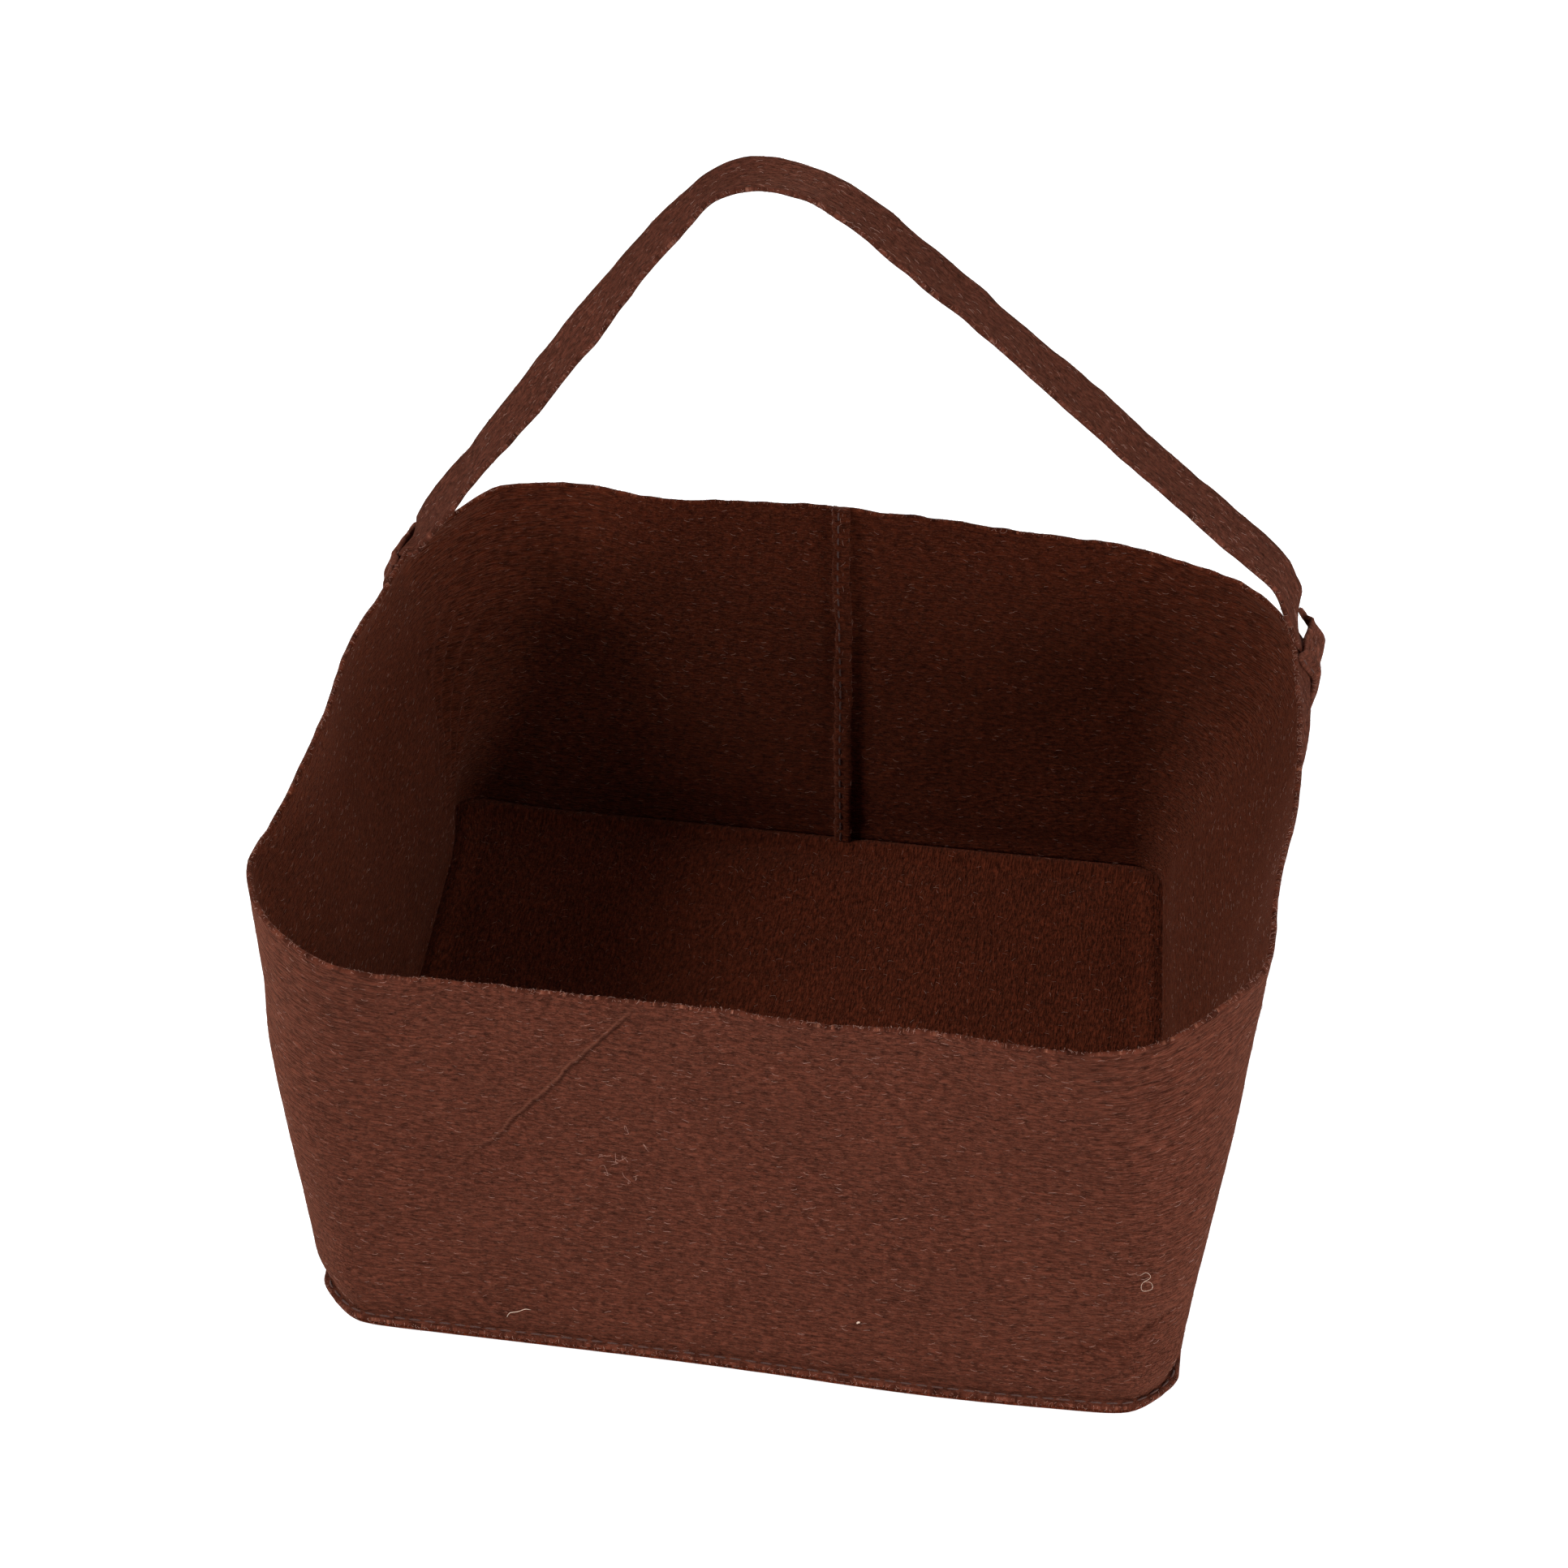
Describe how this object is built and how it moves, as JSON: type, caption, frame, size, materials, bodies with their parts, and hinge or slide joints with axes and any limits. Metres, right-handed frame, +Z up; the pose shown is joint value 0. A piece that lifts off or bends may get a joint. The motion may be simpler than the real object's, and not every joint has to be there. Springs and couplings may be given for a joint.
{
  "type": "fabric grow bag",
  "caption": "Open square planter bag of needled felt with a back seam, a sewn base with a welt and one felt strap handle from side to side.",
  "frame": {"origin": "centre of the footprint, on the ground under the base", "axes": "+Z up, the front wall faces -Y, the back seam is on the +Y wall, the handle runs along X"},
  "size_m": [0.4802, 0.414, 0.4519],
  "materials": {
    "wall_felt": "needled felt",
    "base_felt": "needled felt",
    "strap_felt": "needled felt",
    "patch_felt": "needled felt",
    "thread": "spun thread"
  },
  "bodies": {
    "bag": {"wall_strip": "wall_felt", "base_panel": "base_felt", "handle_end_left": "strap_felt", "handle_end_right": "strap_felt", "patch_left": "patch_felt", "patch_right": "patch_felt", "foot_seam_thread": "thread", "back_seam_thread": "thread", "patch_thread_left": "thread", "patch_thread_right": "thread"},
    "handle": {"handle_strap": "strap_felt"}
  },
  "joints": [
    {"name": "handle_swing", "type": "hinge", "parent": "bag", "child": "handle", "pos_m": [0, 0.135, 0.2422], "axis": [1, 0, 0], "range_deg": [-90, 90]}
  ]
}
